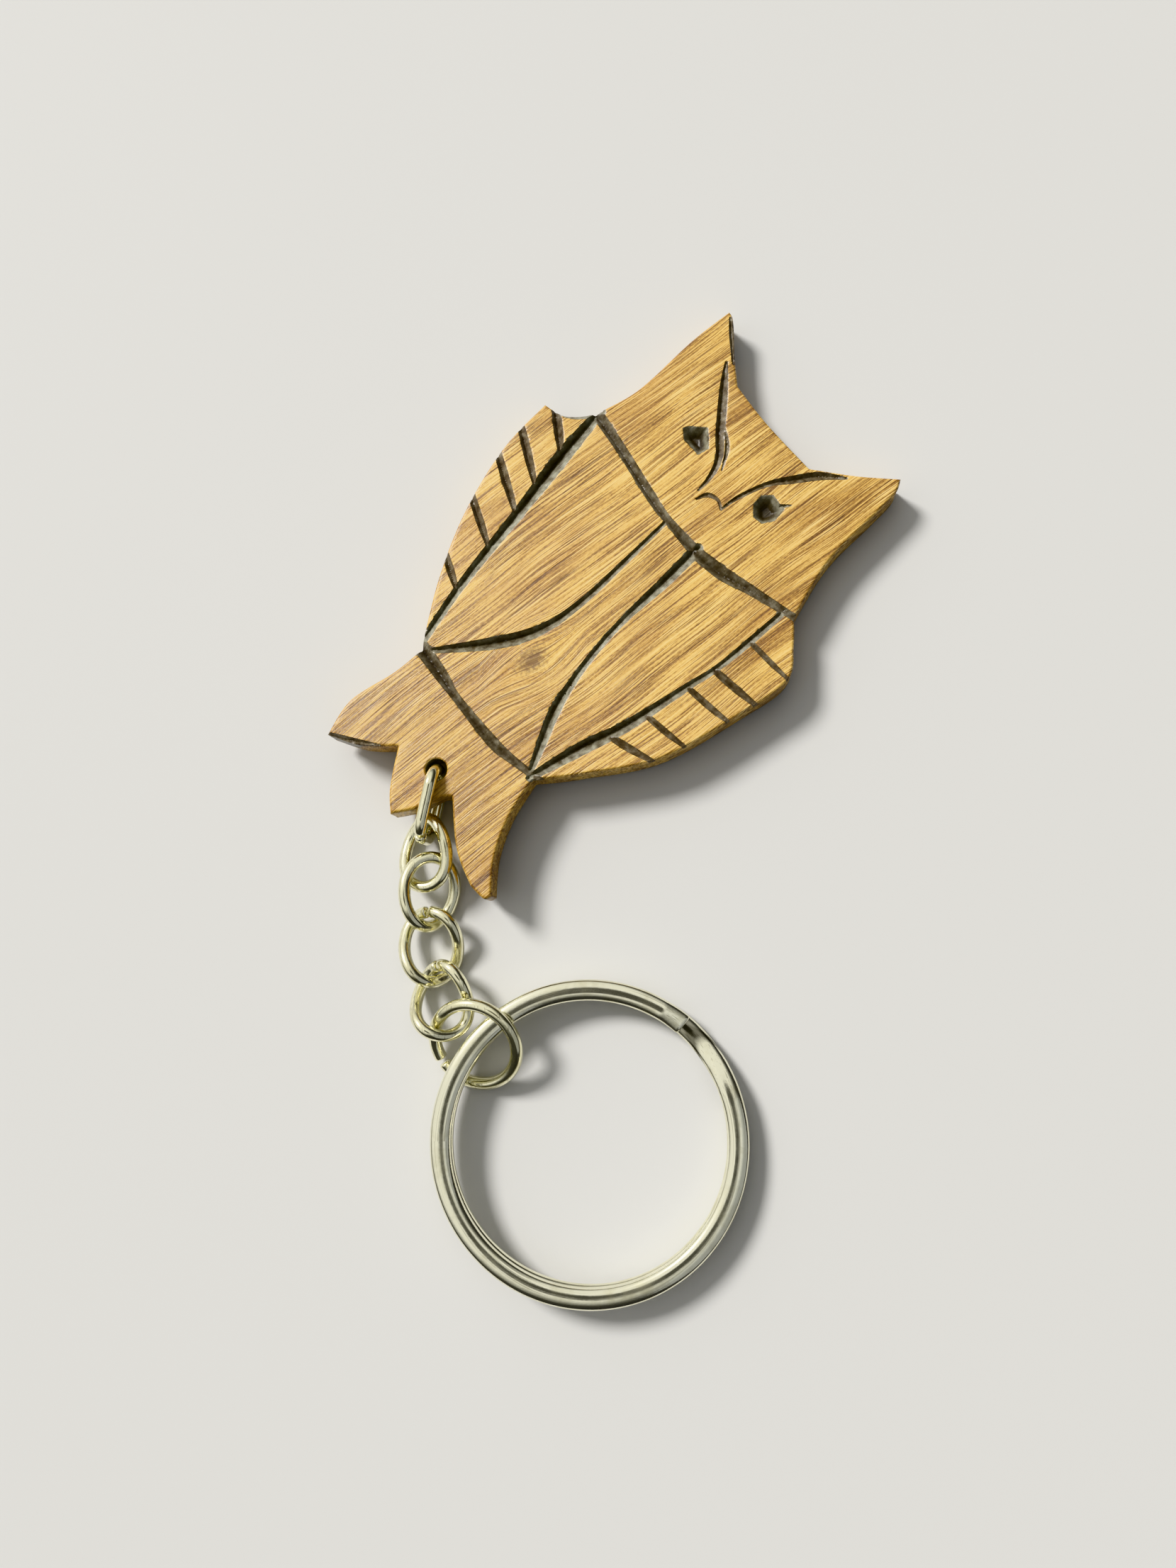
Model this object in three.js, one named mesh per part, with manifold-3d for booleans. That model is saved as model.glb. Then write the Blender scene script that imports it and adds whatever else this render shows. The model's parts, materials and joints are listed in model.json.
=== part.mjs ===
// Keychain: a flat carved wooden owl, a short curb chain and a double-coil split ring.
// Millimetres, +Z up. The keychain lies on a level surface at z = 0, stretched out along Y.
// The pieces are laid out round the hole in the owl's tail, then the whole is centred.

import * as THREE from 'three';
import { mergeVertices } from 'three/addons/utils/BufferGeometryUtils.js';
import Module from 'manifold-3d';

const wasm = await Module();
wasm.setup();

// ---------- driving dimensions ----------

// Owl: its own frame has the foot of the tail at y = 0, the ears at +Y and the back face at z = 0.
const WOOD_THICKNESS = 3.4;
const HOLE_DIAMETER = 2.2;
const HOLE_AT = [-1.3, 5.0];
const OWL_TURN = -43.9;
const OWL_TILT = -1.5;
const TAIL_LIFT = 1.4;

// Carving: the V cuts are as deep as this share of their width.
const CUT_DEPTH_RATIO = 0.55;
const EYE_DEPTH = 0.8;

// Chain links: round wire, measured over the outside.
const LINK_WIRE = 1.2;
const LINK_LENGTH = 8.0;
const LINK_WIDTH = 6.4;
const LINK_CUT = 0.3;
const WIRE_SIDES = 8;

// First link: stands on edge through the hole, so its corners are bent a little squarer.
const FIRST_LINK_REACH = 6.9;
const FIRST_LINK_HEIGHT = 5.1;
const FIRST_LINK_CORNER = 1.8;
const FIRST_LINK_HEADING = -102;
const FIRST_LINK_SET_BACK = 0.15;
const FIRST_LINK_CUT_AT = 0.42;

// Jump ring between the chain and the key ring.
const JUMP_WIRE = 1.24;
const JUMP_DIAMETER = 9.7;
const JUMP_CUT = 0.45;
const JUMP_CUT_AT = 0.7;

// Split ring: one flattened wire wound twice, with a step where it climbs to the upper coil.
const RING_DIAMETER = 30;
const RING_BAND = 2.0;
const RING_WIRE_HEIGHT = 1.2;
const RING_COIL_GAP = 0.12;
const RING_STEP_DEGREES = 35;
const RING_START_AT = 15;

// How the pieces lie, from the hole in the tail: place, then turn, roll and pitch in degrees.
// A link's twist is how far its opposite quarters are bent up and down, in millimetres, and
// its cut is a share of the way round from the +X side.
const CURB_LINKS = [
  { name: 'chain_link_2', at: [-1.4, -7.88, 2.32], turn: 6, roll: -27, pitch: -8, twist: 0.38, cut: 0.27 },
  { name: 'chain_link_3', at: [-0.95, -11.73, 2.31], turn: -2, roll: 34, pitch: 5.5, twist: 0.33, cut: 0.88 },
  { name: 'chain_link_4', at: [-0.75, -17.05, 2.02], turn: 5, roll: 10.5, pitch: 2, twist: 0.95, cut: 0.25 },
  { name: 'chain_link_5', at: [0.4, -22.2, 2.44], turn: 12, roll: -5.5, pitch: -12, twist: 1.0, cut: 0.235 },
];
const JUMP_RING_LIES = { at: [3.85, -26.3, 2.62], turn: -41, roll: 7, pitch: 27.5 };
const SPLIT_RING_LIES = { at: [14.75, -35.15, 2.13], turn: 0, roll: 2.9, pitch: -1.1 };

const degrees = THREE.MathUtils.degToRad;

// ---------- solids ----------

function toSolid(geometry) {
  const bare = geometry.clone();
  bare.deleteAttribute('normal');
  bare.deleteAttribute('uv');
  const merged = mergeVertices(bare, 1e-4);
  const vertProperties = Float32Array.from(merged.attributes.position.array);
  const triVerts = Uint32Array.from(merged.index.array);
  return new wasm.Manifold(new wasm.Mesh({ numProp: 3, vertProperties, triVerts }));
}

function toGeometry(solid) {
  const mesh = solid.getMesh();
  const geometry = new THREE.BufferGeometry();
  geometry.setAttribute('position', new THREE.BufferAttribute(mesh.vertProperties, 3));
  geometry.setIndex(new THREE.BufferAttribute(mesh.triVerts, 1));
  geometry.computeVertexNormals();
  return geometry;
}

function curveThrough(points) {
  return new THREE.SplineCurve(points.map(([x, y]) => new THREE.Vector2(x, y)));
}

// ---------- owl ----------

// Each stretch is one smooth curve from where the last one ended to a corner of the outline.
const OWL_OUTLINE_START = [-12.6, 58.4];
const OWL_OUTLINE = [
  { name: 'left ear, inner edge', through: [[-9.0, 55.4], [-6.5, 53.3]] },
  { name: 'forehead', through: [[-1.6, 52.4], [4.6, 51.7]] },
  { name: 'right ear, inner edge', through: [[8.5, 54.0], [11.9, 56.6]] },
  { name: 'right cheek', through: [[12.5, 52.5], [12.4, 46.0], [13.8, 39.5]] },
  { name: 'right wing', through: [[15.6, 37.5], [17.5, 34.6], [16.6, 29.6], [13.9, 20.8], [9.4, 14.4], [6.3, 10.7]] },
  { name: 'right tail feather, outer edge', through: [[7.2, 6.6], [8.9, 2.9], [11.3, 0.0]] },
  { name: 'right tail feather, tip', through: [[10.9, -0.7], [9.1, -0.7]] },
  { name: 'right tail feather, inner edge', through: [[5.6, 0.9], [1.7, 4.2]] },
  { name: 'notch', through: [[0.9, 3.4]] },
  { name: 'middle tail feather, right edge', through: [[0.0, 1.0], [-1.5, -1.2]] },
  { name: 'middle tail feather, left edge', through: [[-3.4, 0.6], [-5.7, 4.0]] },
  { name: 'left tail feather, inner edge', through: [[-8.4, 1.6], [-11.7, 0.0]] },
  { name: 'left tail feather, outer edge', through: [[-12.5, 4.0], [-11.3, 9.0], [-10.9, 12.4]] },
  { name: 'left wing', through: [[-14.8, 18.8], [-17.8, 25.6], [-19.5, 33.0], [-19.2, 39.5]] },
  { name: 'left shoulder', through: [[-17.0, 39.7], [-14.9, 41.8]] },
  { name: 'left cheek', through: [[-13.6, 46.6], [-13.3, 53.8], [-12.6, 58.4]] },
];

// V cuts in the front face: width at the surface, and the points the cut passes through.
const OWL_CUTS = [
  { name: 'collar', width: 1.3, through: [[-15.2, 42.1], [-10.2, 40.8], [-1.9, 38.5], [5.6, 38.1], [14.3, 39.6]] },
  { name: 'tail band', width: 1.2, through: [[-11.4, 12.7], [-4.8, 11.4], [0.9, 10.7], [7.0, 11.2]] },
  { name: 'left wing edge', width: 1.0, through: [[-14.5, 42.1], [-13.3, 29.3], [-11.2, 12.2]] },
  { name: 'right wing edge', width: 1.0, through: [[12.7, 39.4], [11.9, 31.0], [9.3, 20.7], [6.1, 10.9]] },
  { name: 'left breast', width: 0.9, through: [[-2.0, 38.6], [-2.4, 27.6], [-4.2, 20.5], [-10.4, 12.6]] },
  { name: 'right breast', width: 0.9, through: [[2.2, 38.2], [1.8, 26.0], [3.1, 17.3], [5.6, 11.0]] },
  { name: 'left brow', width: 0.7, through: [[-8.6, 54.3], [-4.1, 48.5], [-1.9, 45.6], [-1.6, 43.0]] },
  { name: 'right brow', width: 0.7, through: [[7.7, 53.1], [2.8, 47.6], [1.6, 44.4], [1.4, 42.7]] },
  { name: 'beak', width: 0.5, through: [[-0.9, 42.0], [0.3, 43.2], [1.4, 42.7]] },
];

// Short feather cuts across the wings, from the outer edge in to the wing line.
const FEATHER_CUT_WIDTH = 0.8;
const LEFT_FEATHER_CUTS = [
  [[-18.8, 39.4], [-14.2, 36.3]],
  [[-19.7, 35.8], [-13.8, 32.2]],
  [[-19.5, 32.2], [-13.3, 28.8]],
  [[-18.5, 27.2], [-13.0, 24.5]],
  [[-15.6, 20.7], [-12.3, 19.2]],
];
const RIGHT_FEATHER_CUTS = [
  [[12.5, 34.9], [17.8, 34.6]],
  [[12.2, 30.5], [17.2, 30.7]],
  [[11.4, 27.5], [16.3, 27.7]],
  [[10.3, 22.8], [14.8, 23.1]],
  [[9.3, 19.0], [13.4, 19.9]],
];

// Gouged four-sided eye pits: centre, half width and half height.
const OWL_EYES = [
  { at: [-5.4, 46.6], half: [1.6, 1.5] },
  { at: [4.8, 45.8], half: [1.5, 1.45] },
];

function owlShape() {
  const shape = new THREE.Shape();
  shape.moveTo(...OWL_OUTLINE_START);
  for (const { through } of OWL_OUTLINE) {
    if (through.length === 1) shape.lineTo(...through[0]);
    else shape.splineThru(through.map(([x, y]) => new THREE.Vector2(x, y)));
  }
  return shape;
}

function owlBlank() {
  const curveSegments = 3;
  return new THREE.ExtrudeGeometry(owlShape(), { depth: WOOD_THICKNESS, bevelEnabled: false, curveSegments });
}

// A V-shaped cutter along a curve in the front face. It stands a little proud of the wood.
function vCutter(through, width) {
  const proud = 0.2;
  const depth = width * CUT_DEPTH_RATIO;
  const halfTop = (width / 2) * (1 + proud / depth);
  const vee = new THREE.Shape();
  vee.moveTo(depth, 0);
  vee.lineTo(-proud, halfTop);
  vee.lineTo(-proud, -halfTop);
  const flat = curveThrough(through);
  const steps = through.length > 2 ? 3 * through.length : 1;
  const lifted = flat.getPoints(steps).map((p) => new THREE.Vector3(p.x, p.y, WOOD_THICKNESS));
  const extrudePath = new THREE.CatmullRomCurve3(lifted);
  return new THREE.ExtrudeGeometry(vee, { steps, extrudePath });
}

function eyeCutter({ at, half }) {
  const proud = 0.2;
  const spread = 1 + proud / EYE_DEPTH;
  const pit = new THREE.ConeGeometry(spread, EYE_DEPTH + proud, 4);
  pit.rotateX(-Math.PI / 2);
  pit.scale(half[0], half[1], 1);
  pit.translate(at[0], at[1], WOOD_THICKNESS + proud - (EYE_DEPTH + proud) / 2);
  return pit;
}

function holeCutter() {
  const radius = HOLE_DIAMETER / 2;
  const drill = new THREE.CylinderGeometry(radius, radius, WOOD_THICKNESS + 2, 24);
  drill.rotateX(Math.PI / 2);
  drill.translate(HOLE_AT[0], HOLE_AT[1], WOOD_THICKNESS / 2);
  return drill;
}

function owlGeometry() {
  const cutters = OWL_CUTS.map(({ through, width }) => vCutter(through, width));
  for (const through of [...LEFT_FEATHER_CUTS, ...RIGHT_FEATHER_CUTS]) {
    cutters.push(vCutter(through, FEATHER_CUT_WIDTH));
  }
  cutters.push(...OWL_EYES.map(eyeCutter), holeCutter());
  const carved = cutters.reduce((wood, cutter) => wood.subtract(toSolid(cutter)), toSolid(owlBlank()));
  return toGeometry(carved).translate(-HOLE_AT[0], -HOLE_AT[1], 0);
}

// ---------- wire pieces ----------

// A closed flat loop, cut open at one place and bent out of its plane by a twist.
class CutLoop extends THREE.Curve {
  constructor(loop, cutAt, cutGap, height = () => 0) {
    super();
    this.loop = loop;
    this.height = height;
    const gapShare = cutGap / loop.getLength();
    this.start = cutAt + gapShare / 2;
    this.span = 1 - gapShare;
  }

  getPoint(t, target = new THREE.Vector3()) {
    const p = this.loop.getPointAt((this.start + t * this.span) % 1);
    return target.set(p.x, p.y, this.height(p));
  }
}

function roundWire(diameter) {
  const section = new THREE.Shape();
  for (let i = 0; i < WIRE_SIDES; i += 1) {
    const angle = ((i + 0.5) / WIRE_SIDES) * 2 * Math.PI;
    const point = [Math.cos(angle) * diameter / 2, Math.sin(angle) * diameter / 2];
    if (i === 0) section.moveTo(...point);
    else section.lineTo(...point);
  }
  return section;
}

function bentWire(path, diameter, steps) {
  return new THREE.ExtrudeGeometry(roundWire(diameter), { steps, extrudePath: path });
}

// Curb link: an oval, longest along Y, whose opposite quarters are bent up and down.
function curbLinkGeometry(twist, cutAt) {
  const halfWidth = (LINK_WIDTH - LINK_WIRE) / 2;
  const halfLength = (LINK_LENGTH - LINK_WIRE) / 2;
  const oval = new THREE.EllipseCurve(0, 0, halfWidth, halfLength);
  const height = (p) => (2 * twist * p.x * p.y) / (halfWidth * halfLength);
  return bentWire(new CutLoop(oval, cutAt, LINK_CUT, height), LINK_WIRE, 36);
}

// First link: an oblong from x = 0 outwards, centred on y = 0, later stood on its edge.
function firstLinkGeometry() {
  const half = FIRST_LINK_HEIGHT / 2;
  const corner = FIRST_LINK_CORNER;
  const far = FIRST_LINK_REACH - corner;
  const oblong = new THREE.Path();
  oblong.moveTo(corner, -half);
  oblong.lineTo(far, -half);
  oblong.absarc(far, -half + corner, corner, -Math.PI / 2, 0);
  oblong.absarc(far, half - corner, corner, 0, Math.PI / 2);
  oblong.absarc(corner, half - corner, corner, Math.PI / 2, Math.PI);
  oblong.absarc(corner, -half + corner, corner, Math.PI, 1.5 * Math.PI);
  return bentWire(new CutLoop(oblong, FIRST_LINK_CUT_AT, LINK_CUT), LINK_WIRE, 40);
}

function jumpRingGeometry() {
  const radius = (JUMP_DIAMETER - JUMP_WIRE) / 2;
  const circle = new THREE.EllipseCurve(0, 0, radius, radius);
  return bentWire(new CutLoop(circle, JUMP_CUT_AT, JUMP_CUT), JUMP_WIRE, 36);
}

// ---------- split ring ----------

class SplitRingCoil extends THREE.Curve {
  getPoint(t, target = new THREE.Vector3()) {
    const step = degrees(RING_STEP_DEGREES);
    const lowerTurn = 2 * Math.PI - step;
    const turned = t * (4 * Math.PI - step);
    const climbed = THREE.MathUtils.smoothstep(turned, lowerTurn, 2 * Math.PI);
    const pitch = RING_WIRE_HEIGHT + RING_COIL_GAP;
    const angle = degrees(RING_START_AT) - turned;
    const radius = (RING_DIAMETER - RING_BAND) / 2;
    return target.set(radius * Math.cos(angle), radius * Math.sin(angle), pitch * (climbed - 0.5));
  }
}

// Flattened wire: a rectangle with well rounded corners. X is the wire's height, Y its width.
function flatWire() {
  const halfHeight = RING_WIRE_HEIGHT / 2;
  const halfWidth = RING_BAND / 2;
  const corner = 0.35;
  const section = new THREE.Shape();
  section.moveTo(-halfHeight, -halfWidth + corner);
  section.lineTo(-halfHeight + corner, -halfWidth);
  section.lineTo(halfHeight - corner, -halfWidth);
  section.lineTo(halfHeight, -halfWidth + corner);
  section.lineTo(halfHeight, halfWidth - corner);
  section.lineTo(halfHeight - corner, halfWidth);
  section.lineTo(-halfHeight + corner, halfWidth);
  section.lineTo(-halfHeight, halfWidth - corner);
  return section;
}

function splitRingGeometry() {
  return new THREE.ExtrudeGeometry(flatWire(), { steps: 120, extrudePath: new SplitRingCoil() });
}

// ---------- assembly ----------

const wood = new THREE.MeshStandardMaterial({ color: 0xc8a262, roughness: 0.4, metalness: 0 });
const chainNickel = new THREE.MeshStandardMaterial({ color: 0xbfb9a4, roughness: 0.25, metalness: 1 });
const ringNickel = new THREE.MeshStandardMaterial({ color: 0xc6c1b0, roughness: 0.2, metalness: 1 });

function piece(name, geometry, material, { at, turn, roll, pitch }) {
  const mesh = new THREE.Mesh(geometry, material.clone());
  mesh.name = name;
  mesh.position.set(...at);
  mesh.rotation.set(degrees(pitch), degrees(roll), degrees(turn), 'ZYX');
  return mesh;
}

function firstLink() {
  const heading = degrees(FIRST_LINK_HEADING);
  const middleHeight = (FIRST_LINK_HEIGHT + LINK_WIRE) / 2;
  const at = [
    -FIRST_LINK_SET_BACK * Math.cos(heading),
    -FIRST_LINK_SET_BACK * Math.sin(heading),
    middleHeight,
  ];
  const onEdge = { at, turn: FIRST_LINK_HEADING, roll: 0, pitch: 90 };
  return piece('chain_link_1', firstLinkGeometry(), chainNickel, onEdge);
}

const charm = new THREE.Group();
const owlLies = { at: [0, 0, TAIL_LIFT], turn: OWL_TURN, roll: 0, pitch: OWL_TILT };
charm.add(piece('owl_charm', owlGeometry(), wood, owlLies));

const chain = new THREE.Group();
chain.add(firstLink());
for (const link of CURB_LINKS) {
  chain.add(piece(link.name, curbLinkGeometry(link.twist, link.cut), chainNickel, link));
}
chain.add(piece('jump_ring', jumpRingGeometry(), chainNickel, JUMP_RING_LIES));

const keyRing = new THREE.Group();
keyRing.add(piece('split_ring', splitRingGeometry(), ringNickel, SPLIT_RING_LIES));

const keychain = new THREE.Group();
keychain.add(charm, chain, keyRing);

// The origin is the middle of the footprint, at the level the keychain lies on.
const extent = new THREE.Box3().setFromObject(keychain, true);
const middle = extent.getCenter(new THREE.Vector3());
keychain.position.set(-middle.x, -middle.y, -extent.min.z);

export default keychain;
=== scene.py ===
# Keychain: a carved wooden owl, a curb chain and a split ring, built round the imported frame.
# The row frame is in metres with +Z up, and the keychain lies on the floor at z = 0.
# Shapes are worked out in millimetres, each in its piece's own frame, and then laid in place.

import json
import math

import bpy
import numpy as np
from mathutils import Euler, Matrix, Vector, geometry, noise


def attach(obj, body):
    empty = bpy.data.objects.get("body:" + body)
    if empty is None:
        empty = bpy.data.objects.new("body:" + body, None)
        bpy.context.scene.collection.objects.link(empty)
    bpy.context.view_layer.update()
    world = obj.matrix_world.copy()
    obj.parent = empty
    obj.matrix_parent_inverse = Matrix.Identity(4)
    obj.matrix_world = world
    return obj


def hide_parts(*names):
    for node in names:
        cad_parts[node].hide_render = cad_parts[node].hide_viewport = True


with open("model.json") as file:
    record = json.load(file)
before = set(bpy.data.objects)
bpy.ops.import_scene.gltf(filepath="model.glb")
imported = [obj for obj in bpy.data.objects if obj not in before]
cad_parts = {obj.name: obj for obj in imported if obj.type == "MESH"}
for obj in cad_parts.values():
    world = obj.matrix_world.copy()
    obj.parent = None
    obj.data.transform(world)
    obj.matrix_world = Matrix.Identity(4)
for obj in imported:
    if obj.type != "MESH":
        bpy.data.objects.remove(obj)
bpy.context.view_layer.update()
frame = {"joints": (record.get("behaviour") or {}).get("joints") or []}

MM = 0.001


# ---------- driving dimensions, in millimetres and degrees ----------

# Owl: its outline has the foot of the tail at y = 0, the ears at +Y and the back face at z = 0.
WOOD_THICKNESS = 3.4
HOLE_DIAMETER = 2.2
HOLE_AT = (-1.3, 5.0)
FRONT_EDGE_ROUND = 0.28
BACK_EDGE_ROUND = 0.18
HOLE_EDGE_ROUND = 0.12
CUT_DEPTH_RATIO = 0.55
CUT_LEAN = 0.5
GRAIN_ANGLE = 9
KNOT_AT = (-2.0, 19.2)

# Chain: round wire, measured over the outside.
LINK_WIRE = 1.2
LINK_LENGTH = 8.0
LINK_WIDTH = 6.4
LINK_CUT = 0.3
FIRST_LINK_REACH = 6.9
FIRST_LINK_HEIGHT = 5.1
FIRST_LINK_CORNER = 1.8
FIRST_LINK_HEADING = -102
FIRST_LINK_SET_BACK = 0.15
FIRST_LINK_CUT_AT = 0.42
JUMP_WIRE = 1.24
JUMP_DIAMETER = 9.7
JUMP_CUT = 0.45
JUMP_CUT_AT = 0.7
WIRE_BEVEL = 0.16
WIRE_UNEVEN = 0.012
WIRE_WAVE = 1.1
# The share of its thickness that any wire loses at the very end of its bevel.
BEVEL_LOSS = 0.34

# Split ring: one flattened wire wound twice, with a step where it climbs to the upper coil.
RING_DIAMETER = 30
RING_BAND = 2.0
RING_WIRE_HEIGHT = 1.2
RING_COIL_GAP = 0.12
RING_STEP_DEGREES = 35
RING_START_AT = 15
RING_TAPER = 2.4
RING_TAPER_LOSS = 0.45
RING_FULLNESS = 2.35
RING_BEVEL = 0.18
RING_UNEVEN = 0.006
RING_WAVE = 2.3

# How the pieces lie, from the hole in the tail: place, then turn, roll and pitch.
OWL_LIES = {"at": (0, 0, 1.4), "turn": -43.9, "pitch": -1.5}
CURB_LINKS = [
    ("chain_link_2", {"at": (-1.4, -7.88, 2.32), "turn": 6, "roll": -27, "pitch": -8}),
    ("chain_link_3", {"at": (-0.95, -11.73, 2.31), "turn": -2, "roll": 34, "pitch": 5.5}),
    ("chain_link_4", {"at": (-0.75, -17.05, 2.02), "turn": 5, "roll": 10.5, "pitch": 2}),
    ("chain_link_5", {"at": (0.4, -22.2, 2.44), "turn": 12, "roll": -5.5, "pitch": -12}),
]
# For each of those links, how far it is twisted and where round it the wire is cut.
LINK_TWISTS = [0.38, 0.33, 0.95, 1.0]
LINK_CUTS_AT = [0.27, 0.88, 0.25, 0.235]
JUMP_RING_LIES = {"at": (3.85, -26.3, 2.62), "turn": -41, "roll": 7, "pitch": 27.5}
SPLIT_RING_LIES = {"at": (14.75, -35.15, 2.13), "roll": 2.9, "pitch": -1.1}
LINK_1_PIVOT_HEIGHT = 3.1


# ---------- camera ----------

def make_camera():
    camera = bpy.data.objects.new("camera", bpy.data.cameras.new("camera"))
    bpy.context.scene.collection.objects.link(camera)
    camera.location = (0.009326, -0.014418, 0.116003)
    camera.rotation_euler = (math.radians(7.5), math.radians(5.949), 0)
    camera.data.sensor_width = 36
    camera.data.lens = 27.05
    camera.data.clip_start = 0.005
    bpy.context.scene.camera = camera


# ---------- floor and light ----------

FLOOR_HALF = 1.5
WINDOW_TOWARDS = (-0.26, 0.22, 0.30)
FILL_TOWARDS = (0.45, -0.25, 0.5)
ROOM_BRIGHTEST = (-0.45, 0.38, 0.81)
ROOM_STRENGTH = 0.85


def make_floor():
    half = FLOOR_HALF
    corners = [(-half, -half, 0), (half, -half, 0), (half, half, 0), (-half, half, 0)]
    mesh = bpy.data.meshes.new("floor")
    mesh.from_pydata(corners, [], [(0, 1, 2, 3)])
    floor = bpy.data.objects.new("floor", mesh)
    bpy.context.scene.collection.objects.link(floor)
    finish = Finish("floor_paper")
    finish.set(Base_Color=(0.56, 0.56, 0.55, 1), Roughness=0.75, Specular_IOR_Level=0.2)
    mesh.materials.append(finish.material)


def add_light(name, towards, spread, strength, colour):
    """Even light from that direction, as from a broad lamp that looks that many degrees wide."""
    light = bpy.data.lights.new(name, "SUN")
    light.angle = math.radians(spread)
    light.energy = strength
    light.color = colour
    lamp = bpy.data.objects.new(name, light)
    bpy.context.scene.collection.objects.link(lamp)
    lamp.rotation_euler = Vector(towards).to_track_quat("Z", "Y").to_euler()


def make_lights():
    add_light("window", WINDOW_TOWARDS, 16, 4.3, (1.0, 0.975, 0.94))
    add_light("fill", FILL_TOWARDS, 60, 0.25, (0.93, 0.96, 1.0))


def make_world():
    """A soft room, brightest high up towards the window, dim on the far side and right overhead.
    What is seen of it behind the floor is a plain pale backdrop."""
    world = bpy.data.worlds.new("room")
    world.use_nodes = True
    tree = world.node_tree
    room = tree.nodes["Background"]
    tree.links.new(room_light(tree), room.inputs["Color"])
    room.inputs["Strength"].default_value = ROOM_STRENGTH
    backdrop = tree.nodes.new("ShaderNodeBackground")
    backdrop.inputs["Color"].default_value = (0.72, 0.72, 0.71, 1)
    seen = tree.nodes.new("ShaderNodeMixShader")
    tree.links.new(tree.nodes.new("ShaderNodeLightPath").outputs["Is Camera Ray"], seen.inputs[0])
    tree.links.new(room.outputs[0], seen.inputs[1])
    tree.links.new(backdrop.outputs[0], seen.inputs[2])
    tree.links.new(seen.outputs[0], tree.nodes["World Output"].inputs["Surface"])
    bpy.context.scene.world = world


def room_light(tree):
    """Colour by direction: how near it is to the brightest one, times a darker spot straight up."""
    direction = tree.nodes.new("ShaderNodeTexCoord").outputs["Generated"]
    nearness = tree.nodes.new("ShaderNodeVectorMath")
    nearness.operation = "DOT_PRODUCT"
    nearness.inputs[1].default_value = Vector(ROOM_BRIGHTEST).normalized()
    height = tree.nodes.new("ShaderNodeSeparateXYZ")
    brightness = tree.nodes.new("ShaderNodeValToRGB")
    overhead = tree.nodes.new("ShaderNodeValToRGB")
    product = tree.nodes.new("ShaderNodeVectorMath")
    product.operation = "MULTIPLY"
    tree.links.new(direction, nearness.inputs[0])
    tree.links.new(direction, height.inputs[0])
    tree.links.new(nearness.outputs["Value"], brightness.inputs[0])
    tree.links.new(height.outputs["Z"], overhead.inputs[0])
    tree.links.new(brightness.outputs[0], product.inputs[0])
    tree.links.new(overhead.outputs[0], product.inputs[1])
    set_ramp(brightness, [
        (0.0, (0.06, 0.06, 0.065)),
        (0.38, (0.09, 0.09, 0.09)),
        (0.56, (0.40, 0.40, 0.38)),
        (0.70, (0.95, 0.94, 0.89)),
        (0.90, (1.00, 0.99, 0.94)),
    ])
    set_ramp(overhead, [
        (0.970, (1.0, 1.0, 1.0)),
        (0.987, (0.12, 0.12, 0.12)),
    ])
    return product.outputs[0]


# ---------- materials ----------

def set_ramp(node, stops):
    elements = node.color_ramp.elements
    while len(elements) < len(stops):
        elements.new(0.5)
    for element, (position, colour) in zip(elements, stops):
        element.position = position
        element.color = (*colour, 1)


class Finish:
    """A material, with short calls that add a node and return its result."""

    def __init__(self, name):
        self.material = bpy.data.materials.new(name)
        self.material.use_nodes = True
        self.tree = self.material.node_tree
        self.shader = self.tree.nodes["Principled BSDF"]

    def join(self, socket, value):
        if isinstance(value, bpy.types.NodeSocket):
            self.tree.links.new(value, socket)
        else:
            socket.default_value = value

    def set(self, **values):
        for name, value in values.items():
            self.join(self.shader.inputs[name.replace("_", " ")], value)

    def add(self, kind, inputs, output=0, **settings):
        node = self.tree.nodes.new("ShaderNode" + kind)
        for name, value in settings.items():
            setattr(node, name, value)
        for key, value in inputs.items():
            self.join(node.inputs[key], value)
        return node.outputs[output]

    def math(self, operation, a, b=0.0):
        return self.add("Math", {0: a, 1: b}, operation=operation)

    def place(self, at=(0, 0, 0), turn=0.0, roll=0.0, pitch=0.0):
        """Where a point is in the frame of a piece that lies like this."""
        inputs = {
            "Vector": self.add("TexCoord", {}, output="Object"),
            "Location": hole_in_row() + Vector(at) * MM,
            "Rotation": turned(turn, roll, pitch),
        }
        return self.add("Mapping", inputs, vector_type="TEXTURE")

    def stretched(self, place, scale):
        return self.add("VectorMath", {0: place, 1: scale}, operation="MULTIPLY")

    def noise(self, place, scale=1.0, detail=3.0, roughness=0.55):
        inputs = {"Vector": place, "Scale": scale, "Detail": detail, "Roughness": roughness}
        return self.add("TexNoise", inputs)

    def spread(self, value, low, high, to_low=0.0, to_high=1.0):
        return self.add("MapRange", {0: value, 1: low, 2: high, 3: to_low, 4: to_high}, clamp=True)

    def ramp(self, value, stops):
        colour = self.add("ValToRGB", {0: value})
        set_ramp(colour.node, stops)
        return colour

    def mix(self, share, a, b, blend="MIX"):
        return self.add("Mix", {0: share, 6: a, 7: b}, output=2, data_type="RGBA", blend_type=blend)

    def bump(self, height, strength, distance, under=None):
        inputs = {"Height": height, "Strength": strength, "Distance": distance}
        if under is not None:
            inputs["Normal"] = under
        return self.add("Bump", inputs)


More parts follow.
